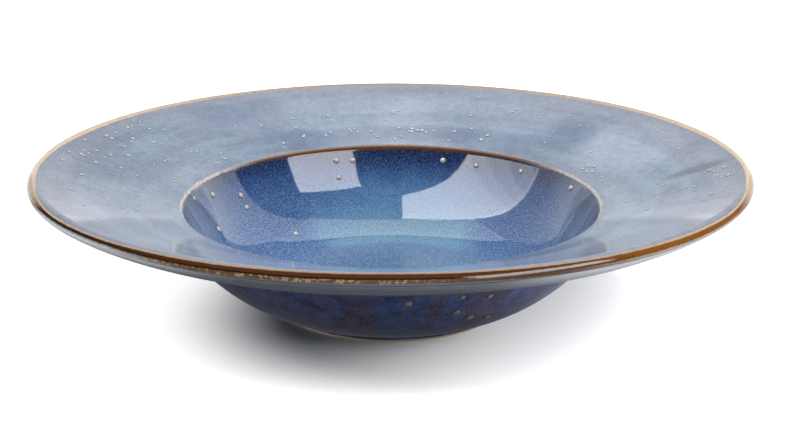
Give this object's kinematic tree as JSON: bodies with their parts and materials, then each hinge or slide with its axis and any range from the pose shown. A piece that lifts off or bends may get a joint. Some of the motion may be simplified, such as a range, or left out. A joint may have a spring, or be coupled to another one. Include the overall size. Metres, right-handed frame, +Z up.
{
  "type": "deep plate",
  "caption": "Round deep plate of glazed stoneware with a broad rising rim, a rounded lip, a steep well for food and a low foot ring.",
  "frame": {"origin": "centre of the foot ring's standing face, on the table plane", "axes": "+Z up along the plate's axis of revolution, +X and +Y level"},
  "size_m": [0.28, 0.28, 0.0599],
  "materials": {
    "stoneware": "bare fired buff clay, matt",
    "recess_glaze": "slate-blue glaze, glossy",
    "bowl_glaze": "dark blue-violet mottled glaze, glossy",
    "rim_underside_glaze": "grey-blue glaze, glossy",
    "lip_band": "iron-brown glaze breaking over the lip, glossy",
    "rim_glaze": "pale grey-blue mottled glaze with fine rings, glossy",
    "well_edge_band": "iron-brown glaze breaking over the well's edge, glossy",
    "well_glaze": "deep cobalt speckled glaze, glossy"
  },
  "bodies": {
    "root": {"stoneware_body": "stoneware", "recess_glaze": "recess_glaze", "bowl_glaze": "bowl_glaze", "rim_underside_glaze": "rim_underside_glaze", "lip_band": "lip_band", "rim_glaze": "rim_glaze", "well_edge_band": "well_edge_band", "well_glaze": "well_glaze"}
  },
  "joints": []
}
